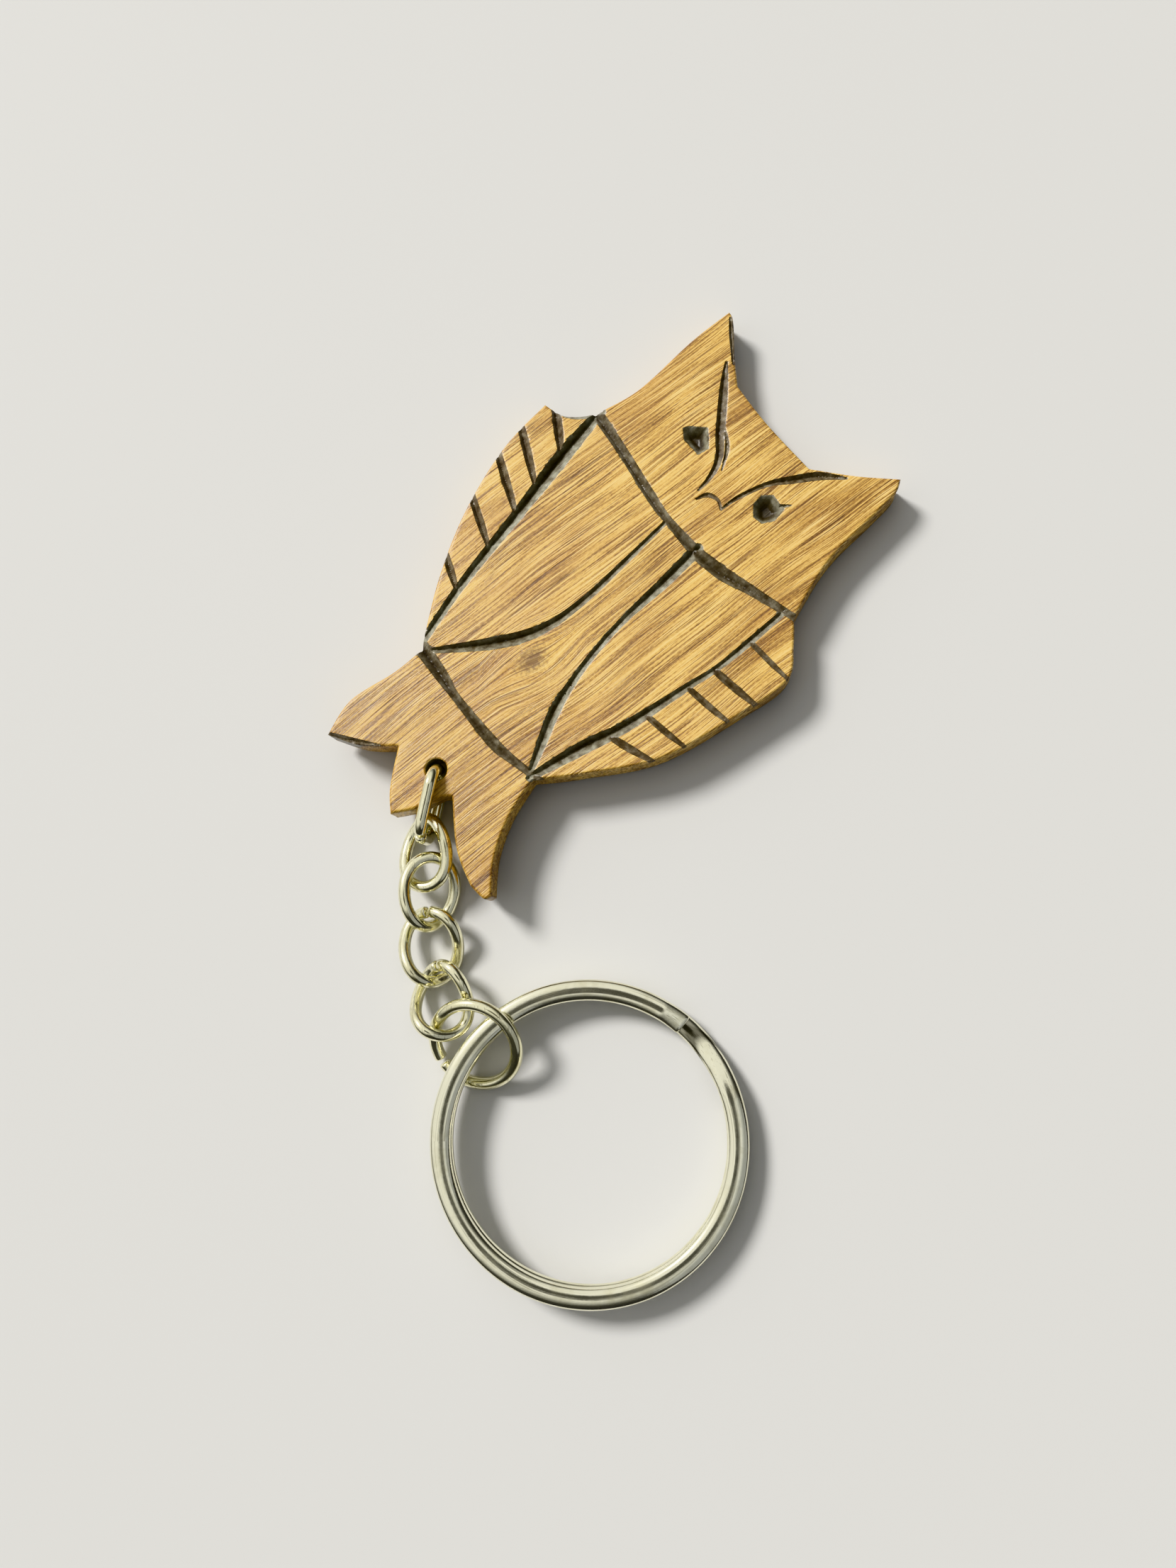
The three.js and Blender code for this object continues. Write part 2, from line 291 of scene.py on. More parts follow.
def along_the_grain(f, place):
    """Where a point is along and across the grain, which bends round the knot, and how far the knot is."""
    knot = Vector((KNOT_AT[0] - HOLE_AT[0], KNOT_AT[1] - HOLE_AT[1], WOOD_THICKNESS)) * MM
    from_knot = f.add("VectorMath", {0: place, 1: knot}, operation="SUBTRACT")
    turn = {"Vector": from_knot, "Angle": math.radians(GRAIN_ANGLE)}
    along = f.add("VectorRotate", turn, rotation_type="Z_AXIS")
    across, lengthwise, deep = (f.add("SeparateXYZ", {0: along}, output=axis) for axis in "XYZ")
    level = f.add("CombineXYZ", {0: across, 1: f.math("MULTIPLY", lengthwise, 0.7)})
    far = f.add("VectorMath", {0: level}, output="Value", operation="LENGTH")
    near_knot = f.spread(far, 0.0005, 0.0042, 1.0, 0.0)
    squeeze = f.math("SUBTRACT", 1.0, f.math("MULTIPLY", near_knot, 0.7))
    sway = f.noise(f.stretched(along, (60, 45, 60)), detail=1.0)
    swayed = f.math("ADD", f.math("MULTIPLY", across, squeeze), f.math("MULTIPLY", sway, 0.0022))
    return f.add("CombineXYZ", {0: swayed, 1: lengthwise, 2: deep}), lengthwise, far


def bare_wood(f, grain, lengthwise, far, fibres, glinting_threads, freckle):
    """Colour of the wood: golden streaks, light threads that are partly painted glints, darker patches,
    dark pores, the knot, and darker towards the tail.
    """
    bands = f.noise(f.stretched(grain, (1100, 20, 300)), detail=2.0)
    pores = f.noise(f.stretched(grain, (8600, 105, 3000)), detail=1.0)
    patches = f.noise(f.stretched(grain, (170, 75, 60)), detail=2.0)
    fuzz = f.noise(f.stretched(grain, (6500, 2600, 4000)), detail=2.0)
    tone = f.math("ADD", f.math("MULTIPLY", fibres, 0.72), f.math("MULTIPLY", bands, 0.28))
    tone = f.math("ADD", tone, f.math("MULTIPLY", f.math("SUBTRACT", fuzz, 0.5), 0.16))
    colour = f.ramp(tone, [
        (0.39, (0.130, 0.060, 0.014)),
        (0.45, (0.345, 0.185, 0.044)),
        (0.50, (0.590, 0.365, 0.092)),
        (0.55, (0.770, 0.520, 0.148)),
        (0.62, (0.920, 0.665, 0.240)),
    ])
    dark_patch = f.spread(patches, 0.44, 0.62, 0.0, 0.8)
    colour = f.mix(dark_patch, colour, (0.66, 0.57, 0.52, 1), "MULTIPLY")
    # Partly painted glints: light golden threads along the grain, partly the wood's lighter fibres and partly
    # painted highlights.
    colour = f.mix(f.spread(glinting_threads, 0.57, 0.66, 0.0, 0.7), colour, (0.96, 0.72, 0.29, 1))
    colour = f.mix(f.spread(pores, 0.57, 0.64, 0.0, 0.8), colour, (0.200, 0.100, 0.028, 1))
    # Darker towards the tail end.
    tail_darkening = f.spread(lengthwise, -0.002, -0.014, 0.0, 0.9)
    colour = f.mix(tail_darkening, colour, (0.77, 0.72, 0.58, 1), "MULTIPLY")
    ragged = f.math("ADD", far, f.math("MULTIPLY", freckle, 0.0024))
    return f.mix(f.spread(ragged, 0.0016, 0.0028, 0.85, 0.0), colour, (0.150, 0.080, 0.035, 1))


def cut_stain(f, place, bleed):
    """Colour of the stain in the cuts, brown or grey, turned near black by painted shade where they
    are deep, and how much it covers."""
    depth = f.add("Attribute", {}, output="Fac", attribute_name="cut_depth")
    greyness = f.add("Attribute", {}, output="Fac", attribute_name="cut_grey")
    ragged = f.math("ADD", depth, f.math("MULTIPLY", bleed, 0.03))
    stained = f.math("MULTIPLY", f.spread(ragged, 0.026, 0.045), 0.97)
    blotch = f.noise(place, scale=1300.0, detail=4.0, roughness=0.6)
    grey = f.ramp(blotch, [
        (0.34, (0.085, 0.075, 0.050)),
        (0.50, (0.190, 0.186, 0.138)),
        (0.66, (0.310, 0.312, 0.245)),
    ])
    brown = f.ramp(blotch, [
        (0.34, (0.040, 0.026, 0.015)),
        (0.52, (0.105, 0.078, 0.048)),
        (0.68, (0.200, 0.168, 0.115)),
    ])
    stain = f.mix(greyness, brown, grey)
    # Painted shade: where a cut, an eye pit or the hole's wall is deep, the stain turns near black.
    return f.mix(f.spread(depth, 0.25, 0.85, 0.0, 0.94), stain, (0.012, 0.009, 0.006, 1)), stained


def wood_finish():
    """Light hardwood: fine streaks along the grain with partly painted glints, one knot, stained cuts
    with painted shade where they are deep, and a thin glossy varnish.
    """
    f = Finish("carved_wood")
    place = f.place(**OWL_LIES)
    grain, lengthwise, far = along_the_grain(f, place)
    fibres = f.noise(f.stretched(grain, (5200, 85, 1500)), detail=6.0, roughness=0.70)
    glinting_threads = f.noise(f.stretched(grain, (9000, 120, 3000)), detail=2.0)
    freckle = f.noise(place, scale=3300.0, detail=3.0, roughness=0.6)
    bleed = f.noise(place, scale=1500.0, detail=3.0)
    wood = bare_wood(f, grain, lengthwise, far, fibres, glinting_threads, freckle)
    stain, stained = cut_stain(f, place, bleed)

    relief = f.bump(fibres, 0.7, 0.00009)
    relief = f.bump(glinting_threads, 0.4, 0.00004, relief)
    relief = f.bump(bleed, 0.16, 0.00003, relief)
    beads = f.bump(freckle, 0.5, 0.00008, f.bump(fibres, 0.5, 0.00008))
    shine = f.spread(glinting_threads, 0.35, 0.65, 0.50, 0.30)
    f.set(Base_Color=f.mix(stained, wood, stain), Roughness=shine, Normal=relief)
    f.set(Coat_Weight=0.2, Coat_Roughness=0.17, Coat_Normal=beads)
    return f.material


def drawn_lines(f, place):
    """Fine lines round a ring that is centred on the frame's origin, and painted shade where its two coils
    meet.
    """
    x, y, z = (f.add("SeparateXYZ", {0: place}, output=axis) for axis in "XYZ")
    radius = f.math("SQRT", f.math("ADD", f.math("MULTIPLY", x, x), f.math("MULTIPLY", y, y)))
    angle = f.math("ARCTAN2", y, x)
    spun = f.add("CombineXYZ", {0: radius, 1: f.math("MULTIPLY", angle, 0.004), 2: z})
    lines = f.noise(f.stretched(spun, (6500, 260, 6500)), detail=2.0, roughness=0.65)
    # Painted shade: the colour darkens towards the middle height of the ring, where its two coils meet.
    return lines, f.spread(f.math("ABSOLUTE", z), 0.00006, 0.00022, 0.8, 0.0)


def nickel_finish(name, colour, tarnish, ring_lies=None):
    """Bright warm nickel plate, scuffed all over, or with drawn lines round a ring that lies like this.
    The lines darken the colour, partly as real marks and partly as painted dark reflections, and on the
    ring painted shade darkens the join between its two coils.
    """
    f = Finish(name)
    place = f.place(**(ring_lies or {}))
    cloud = f.noise(place, scale=420.0, detail=3.0)
    speck = f.noise(place, scale=2600.0, detail=2.0)
    if ring_lies:
        lines, coil_gap_shade = drawn_lines(f, place)
    else:
        lines = f.noise(f.stretched(place, (5200, 900, 2300)), detail=2.0, roughness=0.7)
        coil_gap_shade = 0.0
    plated = f.mix(f.spread(cloud, 0.48, 0.70, 0.0, 0.7), (*colour, 1), (*tarnish, 1))
    # Partly painted reflection: the lines darken the colour, partly as real scuffs and drawn marks, partly
    # standing in for reflected dark surroundings.
    plated = f.mix(f.spread(lines, 0.58, 0.70, 0.0, 0.55), plated, (0.30, 0.28, 0.20, 1))
    clouded = f.spread(cloud, 0.3, 0.7, 0.07, 0.18)
    # Painted shade darkens the colour where the ring's two coils meet.
    f.set(
        Base_Color=f.mix(coil_gap_shade, plated, (0.06, 0.055, 0.04, 1)),
        Metallic=1.0,
        Roughness=f.math("ADD", clouded, f.spread(lines, 0.50, 0.75, 0.0, 0.14)),
        Normal=f.bump(speck, 0.10, 0.00004, f.bump(lines, 0.22, 0.00002)),
    )
    return f.material


# ---------- curves ----------

# How many points are measured against a line at once, to save memory.
BATCH = 4000


def smooth(points, spacing):
    """Points about that far apart on the smooth curve through the given ones.
    Columns after x and y follow along."""
    points = np.array(points, float)
    last = len(points) - 1
    made = []
    for i in range(last):
        before, here, there, after = (points[min(max(k, 0), last)] for k in (i - 1, i, i + 1, i + 2))
        leave, arrive = (there - before) / 2, (after - here) / 2
        count = max(2, math.ceil(np.linalg.norm((there - here)[:2]) / spacing))
        for t in np.arange(count) / count:
            bend = (2 * here - 2 * there + leave + arrive) * t ** 3
            made.append(bend + (3 * there - 3 * here - 2 * leave - arrive) * t ** 2 + leave * t + here)
    made.append(points[-1])
    return np.array(made)


def nearest_on(line, points):
    """For each point, its distance to an open line of (x, y, width), the width there, and how far the
    line's sideways direction is along X, which is negative for a point on the line's -X side."""
    start, step = line[:-1, :2], np.diff(line[:, :2], axis=0)
    long = (step ** 2).sum(1)
    facing = np.abs(step[:, 1]) / np.sqrt(long)
    distance, width, side = np.empty((3, len(points)))
    for first in range(0, len(points), BATCH):
        batch = slice(first, first + BATCH)
        some = points[batch]
        gap = some[:, None, :] - start[None]
        share = np.clip((gap * step).sum(2) / long, 0, 1)
        gap = gap - share[..., None] * step
        apart = np.hypot(gap[..., 0], gap[..., 1])
        best = apart.argmin(1)
        rows = np.arange(len(some))
        at = share[rows, best]
        distance[batch] = apart[rows, best]
        width[batch] = line[best, 2] * (1 - at) + line[best + 1, 2] * at
        side[batch] = np.sign(gap[rows, best, 0]) * facing[best]
    return distance, width, side


# ---------- owl ----------

# Each stretch is one smooth curve from where the last one ended to a corner of the outline.
OUTLINE_START = (-12.6, 58.7)
OUTLINE = [
    ("left ear, inner edge", [(-11.6, 58.2), (-9.0, 55.6), (-6.5, 53.4)]),
    ("forehead", [(-1.6, 52.4), (4.6, 51.7)]),
    ("right ear, inner edge", [(8.5, 54.2), (11.9, 56.8)]),
    ("right cheek", [(12.5, 55.4), (12.5, 52.5), (12.4, 46.0), (13.8, 39.5)]),
    ("right wing", [(15.6, 37.5), (17.5, 34.6), (16.6, 29.6), (13.9, 20.8), (9.4, 14.4), (6.3, 10.7)]),
    ("right tail feather, outer edge", [(7.2, 6.6), (8.9, 2.9), (11.3, 0.0)]),
    ("right tail feather, tip", [(10.9, -0.7), (9.1, -0.7)]),
    ("right tail feather, inner edge", [(5.6, 0.9), (1.7, 4.2)]),
    ("notch", [(0.9, 3.4)]),
    ("middle tail feather, right edge", [(0.0, 1.0), (-1.5, -1.2)]),
    ("middle tail feather, left edge", [(-3.4, 0.6), (-5.7, 4.0)]),
    ("left tail feather, inner edge", [(-8.4, 1.6), (-11.7, 0.0)]),
    ("left tail feather, outer edge", [(-12.5, 4.0), (-11.3, 9.0), (-10.9, 12.4)]),
    ("left wing", [(-14.8, 18.8), (-17.8, 25.6), (-19.6, 33.0), (-19.7, 39.1)]),
    ("left shoulder", [(-17.3, 39.6), (-15.2, 41.7)]),
    ("left cheek", [(-13.7, 46.6), (-13.3, 53.8), (-12.6, 58.7)]),
]

# Knife cuts in the front face: how grey the stain in each is, from brown to grey, and its points
# as (x, y, width at the surface).
CUTS = [
    ("collar", 0.35, [
        (-15.5, 42.0, 1.3), (-10.3, 40.7, 1.1), (-4.7, 39.1, 1.1), (-1.9, 38.5, 0.9),
        (2.3, 38.0, 1.3), (5.6, 38.1, 1.5), (8.8, 38.7, 1.1), (14.3, 39.6, 0.7),
    ]),
    ("tail band", 0.3, [
        (-11.4, 12.7, 1.6), (-7.6, 12.0, 1.4), (-4.8, 11.4, 0.9), (0.9, 10.7, 1.2),
        (3.6, 10.8, 0.9), (7.0, 11.2, 0.7),
    ]),
    ("left wing edge", 1.0, [
        (-14.9, 42.3, 1.1), (-14.4, 36.0, 1.7), (-13.6, 29.3, 1.3), (-12.6, 20.0, 1.0),
        (-11.1, 11.9, 0.8),
    ]),
    ("right wing edge", 0.75, [
        (12.7, 39.4, 0.7), (12.3, 34.9, 0.8), (11.8, 30.9, 0.7), (11.0, 27.7, 0.8),
        (9.3, 20.7, 1.2), (7.6, 16.0, 1.4), (6.0, 10.7, 0.8),
    ]),
    ("left breast", 0.6, [
        (-2.0, 38.6, 0.5), (-2.2, 32.0, 0.7), (-2.4, 27.6, 0.8), (-3.0, 23.6, 1.0),
        (-4.2, 20.5, 1.3), (-6.4, 17.3, 1.3), (-10.6, 12.4, 0.5),
    ]),
    ("right breast", 0.9, [
        (2.2, 38.2, 1.3), (2.1, 33.6, 1.2), (1.8, 28.0, 0.8), (2.0, 23.6, 0.8),
        (2.5, 20.0, 0.9), (3.2, 17.0, 1.2), (4.6, 13.6, 1.0), (5.9, 10.6, 0.5),
    ]),
    ("left brow", 0.15, [
        (-9.0, 54.4, 0.4), (-7.3, 52.2, 0.9), (-4.4, 48.6, 1.0), (-2.7, 46.6, 0.8),
        (-2.0, 44.6, 0.6), (-1.9, 42.8, 0.3),
    ]),
    ("left brow, second stroke", 0.2, [(-4.3, 49.2, 0.2), (-2.8, 47.9, 0.5), (-1.6, 45.8, 0.2)]),
    ("right brow", 0.2, [
        (8.0, 53.3, 0.3), (6.0, 51.8, 0.9), (4.3, 49.8, 0.9), (2.7, 47.7, 0.6),
        (1.5, 44.8, 0.5), (1.1, 42.8, 0.3),
    ]),
    ("beak", 0.1, [(-1.4, 42.0, 0.3), (-0.9, 43.0, 0.55), (0.2, 43.3, 0.4), (1.1, 42.8, 0.3)]),
    ("right eye, tail", 0.8, [(4.7, 46.2, 0.9), (5.9, 47.7, 0.2)]),
    ("shoulder chamfer", 0.9, [
        (-19.0, 39.6, 0.3), (-17.4, 39.8, 0.9), (-15.9, 41.0, 1.1), (-15.0, 42.4, 0.4),
    ]),
    ("left ear chamfer", 0.2, [(-12.0, 58.2, 0.3), (-10.6, 57.0, 0.7), (-8.4, 54.8, 0.3)]),
    ("left tail chamfer", 0.2, [(-12.0, -0.1, 0.4), (-10.2, 0.7, 0.9), (-7.0, 2.9, 0.2)]),
]

# Short feather cuts across the wings, from the outer edge in to the wing line, with their widths.
# Their stain is worn brown. They bow a little, and are narrower at both ends, as shares of the width.
FEATHER_GREY = 0.1
FEATHER_BOW = (0.08, -0.06)
FEATHER_OUTER_WIDTH, FEATHER_INNER_WIDTH = 0.9, 0.55
FEATHERS = [
    ((-19.0, 39.9), (-14.5, 36.2), 1.0),
    ((-20.0, 35.9), (-14.1, 32.1), 0.9),
    ((-19.8, 32.3), (-13.5, 28.7), 0.9),
    ((-18.8, 27.4), (-13.1, 24.4), 0.85),
    ((-15.9, 21.0), (-12.4, 19.1), 0.8),
    ((12.4, 34.9), (17.9, 34.6), 0.6),
    ((11.7, 30.5), (17.4, 30.7), 0.8),
    ((11.1, 27.5), (16.5, 27.7), 0.7),
    ((9.9, 22.8), (15.0, 23.1), 0.7),
    ((8.8, 18.9), (13.6, 20.0), 0.8),
]

# Gouged eye pits: centre, and corners round it from the left.
EYES = [
    ((-5.8, 46.5), [
        (-1.8, 0.0), (-1.35, 0.65), (0.1, 1.7), (1.75, 0.1), (1.35, -1.1), (-0.8, -0.85),
    ]),
    ((4.5, 45.8), [
        (-1.45, -0.5), (-1.5, 0.65), (-0.65, 1.5), (1.2, 1.15), (1.3, -0.35), (0.6, -1.45), (-0.5, -1.5),
    ]),
]
# How far the edges of cuts and pits waver, in long and in short waves, and how long those are.
CUT_SWAY = 0.08
CUT_CHIP = 0.055
LONG_WAVE = 0.9
SHORT_WAVE = 0.3
EYE_SLOPE = 1.15
EYE_DEPTH = 1.05
EYE_GREY = 0.8

# How uneven the sanded face is, in broad swells and in ripples along the board, and the sawn edge.
FACE_SWELL = 0.02
FACE_RIPPLE = 0.008
SAW_MARKS = 0.02

# Stain on the walls, as the depth of a cut that would be as dark: in the hole, where it is painted shade
# that turns the wall near black, and where it has run down the outer edge, as centre and reach.
HOLE_WALL_SHADE = 0.7
EDGE_STAIN = 0.22
EDGE_STAINS = [((-16.5, 40.2), 3.0), ((-10.5, 56.6), 2.6), ((-10.4, 0.6), 2.4)]
# How fast it gets stronger towards a centre, and how much weaker it is at the foot of the wall.
EDGE_STAIN_GAIN, EDGE_STAIN_FADE = 1.6, 0.7
WALL_GREY = 0.5

# Spacing of the mesh: along the edge, along the middle of a cut, in and beside the cuts, on the
# plain face and on the back.
EDGE_SPACING = 0.16
CUT_STEP = 0.2
FINE_SPACING = 0.13
PLAIN_SPACING = 0.3
BACK_SPACING = 0.9
FINE_REACH = 0.16
LEAST_SPACING = 0.085
EDGE_CLEARANCE = 0.04
CREST_CLEARANCE = 0.1
EDGE_RINGS = (0.05, 0.12, 0.2, 0.3)
HOLE_RINGS = (0.05, 0.12)
HOLE_SIDES = 56
WALL_ROWS = 5
# More than any distance from a cut or a pit that matters.
FAR_AWAY = 9.0


def waver(points, size, seed):
    """A smooth random height between about -1 and 1 over the plane, with bumps of that size."""
    return np.array([noise.noise(Vector((x / size, y / size, seed))) for x, y in points])


def owl_outline():
    corner = OUTLINE_START
    loop = []
    for _, through in OUTLINE:
        loop.extend(smooth([corner, *through], EDGE_SPACING)[:-1])
        corner = through[-1]
    return np.array(loop)


def hole_outline():
    angles = np.arange(HOLE_SIDES) / HOLE_SIDES * -2 * math.pi
    return np.array(HOLE_AT) + HOLE_DIAMETER / 2 * np.stack([np.cos(angles), np.sin(angles)], 1)


def inset(loop, distance):
    """The loop moved sideways into the wood, on the right of its direction."""
    along = np.roll(loop, -1, 0) - np.roll(loop, 1, 0)
    inward = np.stack([along[:, 1], -along[:, 0]], 1) / np.hypot(*along.T)[:, None]
    moved = loop + inward * distance
    return moved[distance_to_loop(loop, moved) > distance * 0.93]


def distance_to_loop(loop, points):
    closed = np.vstack([loop, loop[:1]])
    return nearest_on(np.column_stack([closed, np.zeros(len(closed))]), points)[0]


def rows_inside(loop, spacing):
    """Staggered rows of points inside the loop."""
    found = []
    ends = np.roll(loop, -1, 0)
    step = spacing * math.sqrt(3) / 2
    for row, y in enumerate(np.arange(loop[:, 1].min() + step / 3, loop[:, 1].max(), step)):
        crossing = (loop[:, 1] > y) != (ends[:, 1] > y)
        a, b = loop[crossing], ends[crossing]
        xs = np.sort(a[:, 0] + (y - a[:, 1]) / (b[:, 1] - a[:, 1]) * (b[:, 0] - a[:, 0]))
        for low, high in zip(xs[::2], xs[1::2]):
            first = math.ceil(low / spacing - row % 2 / 2)
            found.extend(((k + row % 2 / 2) * spacing, y) for k in range(first, int(high / spacing) + 1))
    return np.array(found)


def thinned(groups, least):
    """The points of all groups, earlier ones first, leaving out any that crowd one already kept."""
    kept, cells = [], {}
    for points in groups:
        for x, y in points:
            cell = (round(x / least), round(y / least))
            around = (cells.get((cell[0] + i, cell[1] + j)) for i in (-1, 0, 1) for j in (-1, 0, 1))
            if all(other is None or math.hypot(other[0] - x, other[1] - y) > least * 0.8 for other in around):
                cells[cell] = (x, y)
                kept.append((x, y))
    return np.array(kept)


def cut_lines():
    """Every cut as its line of (x, y, width) and how grey it is."""
    lines = [(smooth(through, CUT_STEP), grey) for _, grey, through in CUTS]
    for outer, inner, width in FEATHERS:
        middle = (np.array(outer) + inner) / 2 + FEATHER_BOW
        through = [
            (*outer, width * FEATHER_OUTER_WIDTH), (*middle, width), (*inner, width * FEATHER_INNER_WIDTH),
        ]
        lines.append((smooth(through, CUT_STEP), FEATHER_GREY))
    return lines


def cut_depth(points, lines):
    """At each point, how deep the cuts and eye pits go, how far it is outside the nearest,
    and how grey the stain is."""
    depth, clear, grey = np.zeros(len(points)), np.full(len(points), FAR_AWAY), np.zeros(len(points))
    wobble = CUT_SWAY * waver(points, LONG_WAVE, 3.1) + CUT_CHIP * waver(points, SHORT_WAVE, 7.7)
    for line, greyness in lines:
        margin = line[:, 2].max() / 2 + 0.4
        low, high = line[:, :2].min(0) - margin, line[:, :2].max(0) + margin
        near = np.flatnonzero(((points > low) & (points < high)).all(1))
        if not len(near):
            continue
        distance, width, side = nearest_on(line, points[near])
        half = width / 2 * (1 + wobble[near])
        inside = half - distance + wobble[near] * 0.5
        found = vee(half, distance * np.sign(side), np.abs(side)) * (inside > 0)
        grey[near] = np.where(found > depth[near], greyness, grey[near])
        depth[near] = np.maximum(depth[near], found)
        clear[near] = np.minimum(clear[near], -inside)
    for centre, corners in EYES:
        inside = pit_reach(points - centre, np.array(corners)) + wobble * 0.6
        found = np.minimum(EYE_SLOPE * inside, EYE_DEPTH)
        grey = np.where(found > depth, EYE_GREY, grey)
        depth = np.maximum(depth, found)
        clear = np.minimum(clear, -inside)
    return np.maximum(depth, 0), clear, grey


def vee(half, across, facing):
    """Depth of a V cut that is half wide each way. It is steeper on its -X side, the more so
    the more that side faces along X."""
    middle = -CUT_LEAN * facing * half
    deepest = 2 * half * CUT_DEPTH_RATIO
    left = (across + half) / (half + middle)
    right = (half - across) / (half - middle)
    return deepest * np.clip(np.minimum(left, right), 0, 1)


def pit_reach(points, corners):
    """How far inside a convex outline each point is. It is negative outside."""
    reach = np.full(len(points), FAR_AWAY)
    for a, b in zip(corners, np.roll(corners, -1, 0)):
        side = (b - a) / np.hypot(*(b - a))
        reach = np.minimum(reach, (points[:, 0] - a[0]) * side[1] - (points[:, 1] - a[1]) * side[0])
    return reach


def round_over(distance, radius):
    """How far a rounded edge drops at that distance in from the edge."""
    short = np.clip(radius - distance, 0, radius)
    return radius - np.sqrt(radius ** 2 - short ** 2)


def sheet_mesh(loop, hole, inner):
    """Triangles over the outline without the hole, with the outline's and the hole's points first."""
    points = [Vector(p) for p in np.vstack([loop, hole, inner])]
    rim, bore = len(loop), len(hole)
    edges = [(i, (i + 1) % rim) for i in range(rim)]
    edges += [(rim + i, rim + (i + 1) % bore) for i in range(bore)]
    made, _, faces, source, _, _ = geometry.delaunay_2d_cdt(points, edges, [], 4, 1e-7)
    place = {s: i for i, found in enumerate(source) for s in found}
    first = [place[i] for i in range(rim + bore)]
    bored = set(first[rim:])
    faces = [f for f in faces if not bored.issuperset(f)]
    return np.array([tuple(p) for p in made]), faces, first


def front_sheet(loop, hole, rings, lines):
    """The carved face as a height field: its points, faces and rims, and how deep and how grey
    its cuts are."""
    crests = [edge_points(line, share) for line, _ in lines for share in (0, 0.5, -0.5)]
    crests = [within(loop, c, CREST_CLEARANCE) for c in crests]
    fine = rows_inside(loop, FINE_SPACING)
    fine = fine[cut_depth(fine, lines)[1] < FINE_REACH]
    plain = rows_inside(loop, PLAIN_SPACING)
    flat, faces, rims = filled(loop, hole, [*rings, *crests, fine, plain])
    depth, _, grey = cut_depth(flat, lines)
    top = WOOD_THICKNESS - edge_drop(loop, flat, FRONT_EDGE_ROUND)
    ripple = FACE_RIPPLE * waver(flat * (3.0, 0.35), 1.0, 5.9)
    skin = FACE_SWELL * waver(flat, 5.0, 1.3) + ripple - FACE_SWELL
    top = np.minimum(top + skin, WOOD_THICKNESS + skin - depth)
    return np.column_stack([flat, top]), faces, rims, depth, grey


def back_sheet(loop, hole, rings):
    """The flat back, with softened edges: its points, faces and rims."""
    flat, faces, rims = filled(loop, hole, [*rings, rows_inside(loop, BACK_SPACING)])
    under = edge_drop(loop, flat, BACK_EDGE_ROUND)
    return np.column_stack([flat, under]), [tuple(reversed(f)) for f in faces], rims


def filled(loop, hole, groups):
    """A flat sheet inside the outline and round the hole, through the points of the groups."""
    inner = thinned([loop, hole, *groups], LEAST_SPACING)[len(loop) + len(hole):]
    return sheet_mesh(loop, hole, inner[keep_inner(loop, inner)])


def wall_rows(ring, high, low, seed):
    """Rows of points down the wall below a rim, slightly uneven, each with its share of the way down."""
    count = len(ring)
    for k in range(1, WALL_ROWS):
        share = k / WALL_ROWS
        z = high * (1 - share) + low * share
        saw = SAW_MARKS * waver(np.column_stack([np.arange(count) * EDGE_SPACING, z]), 0.5, seed)
        yield share, np.column_stack([outward(ring, saw - SAW_MARKS), z])


def owl_mesh():
    """The owl round its hole, as points, faces and what the stain and the painted shade follow at each point.
    """
    loop, hole, lines = owl_outline(), hole_outline(), cut_lines()
    rings = [inset(loop, d) for d in EDGE_RINGS] + [hole_ring(hole, d) for d in HOLE_RINGS]
    front, front_faces, front_rims, depth, grey = front_sheet(loop, hole, rings, lines)
    back, back_faces, back_rims = back_sheet(loop, hole, rings)
    vertices = [front, back]
    faces = [tuple(f) for f in front_faces]
    faces += [tuple(len(front) + i for i in f) for f in back_faces]
    depths = [depth, np.zeros(len(back))]
    greys = [grey, np.zeros(len(back))]
    total = len(front) + len(back)
    for ring, first in ((loop, 0), (hole, len(loop))):
        count = len(ring)
        upper = front_rims[first:first + count]
        under = back_rims[first:first + count]
        levels = [upper]
        for share, row in wall_rows(ring, front[upper, 2], back[under, 2], 9.0 + first):
            vertices.append(row)
            # In the hole the wall gets painted shade, near black; on the outer edge, stain that has run down.
            depths.append(edge_stain(ring, share) if ring is loop else np.full(count, HOLE_WALL_SHADE))
            greys.append(np.full(count, WALL_GREY))
            levels.append(list(range(total, total + count)))
            total += count
        levels.append([len(front) + i for i in under])
        for a, b in zip(levels, levels[1:]):
            for i in range(count):
                j = (i + 1) % count
                faces.append((a[i], a[j], b[j], b[i]))
    marks = {"cut_depth": np.concatenate(depths), "cut_grey": np.concatenate(greys)}
    return np.vstack(vertices) - (*HOLE_AT, 0), faces, marks


def hole_ring(hole, distance):
    return np.array(HOLE_AT) + (hole - HOLE_AT) * (1 + distance / (HOLE_DIAMETER / 2))


def edge_points(line, share):
    """Points along a cut, at that share of its width to the side of its middle."""
    along = np.gradient(line[:, :2], axis=0)
    aside = np.stack([-along[:, 1], along[:, 0]], 1) / np.hypot(*along.T)[:, None]
    side = line[:, :2] + aside * line[:, 2:] * share
    return smooth(side, FINE_SPACING)


def inside_loop(loop, points):
    ends = np.roll(loop, -1, 0)
    answer = np.zeros(len(points), bool)
    for (ax, ay), (bx, by) in zip(loop, ends):
        spans = (ay > points[:, 1]) != (by > points[:, 1])
        if ay != by:
            answer ^= spans & (points[:, 0] < ax + (points[:, 1] - ay) / (by - ay) * (bx - ax))
    return answer


def within(loop, points, margin):
    points = points[inside_loop(loop, points)]
    return points[distance_to_loop(loop, points) > margin]


